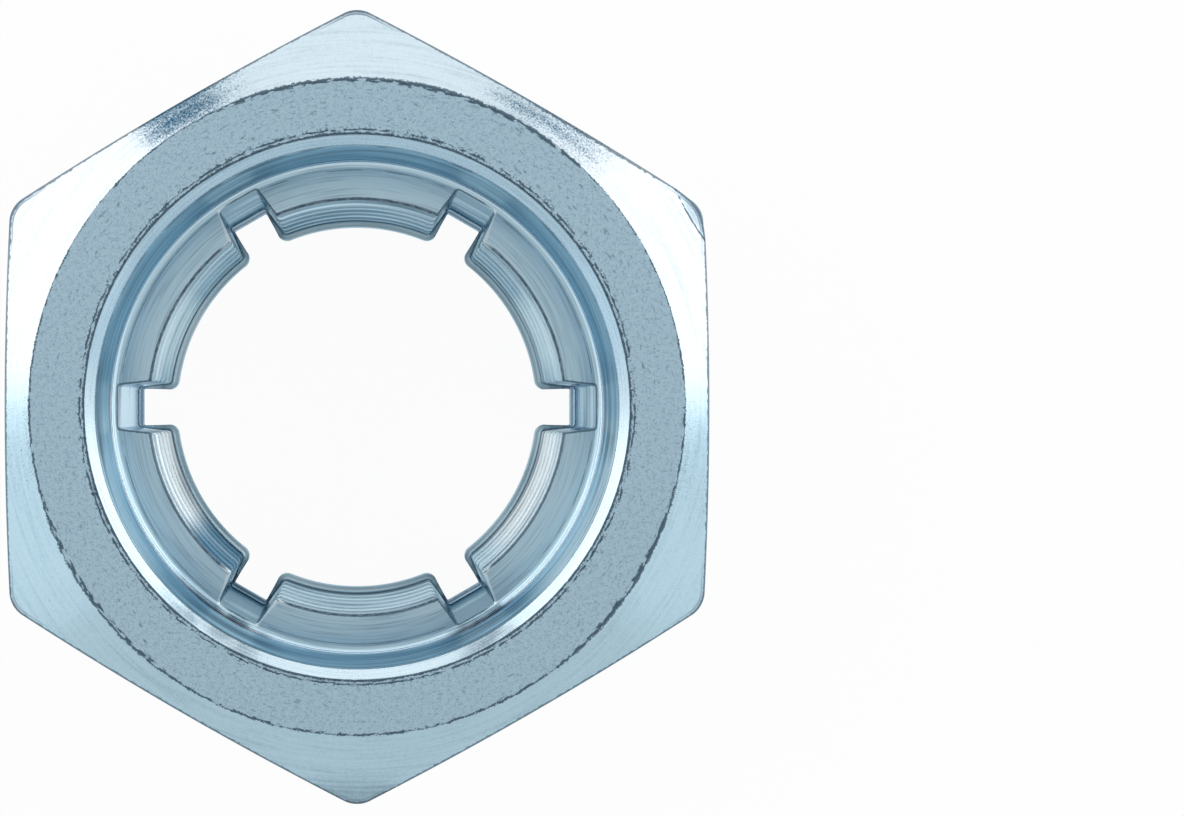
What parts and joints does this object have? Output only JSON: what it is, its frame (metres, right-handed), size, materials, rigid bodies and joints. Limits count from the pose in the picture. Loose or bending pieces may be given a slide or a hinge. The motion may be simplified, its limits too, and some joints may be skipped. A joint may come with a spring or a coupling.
{
  "type": "lock nut",
  "caption": "hexagonal lock nut with a counterbored face and a slotted internal flange that carries the thread",
  "frame": {"origin": "centre of the back face, on the thread axis", "axes": "+Z along the thread axis, from the back face to the recessed front face; X across two opposite flats, Y across two opposite corners"},
  "size_m": [0.03, 0.0344, 0.012],
  "materials": {
    "zinc_plated_steel": "zinc plated, clear blue passivated, satin with turning marks and small pits"
  },
  "bodies": {
    "root": {"lock_nut": "zinc_plated_steel"}
  },
  "joints": []
}
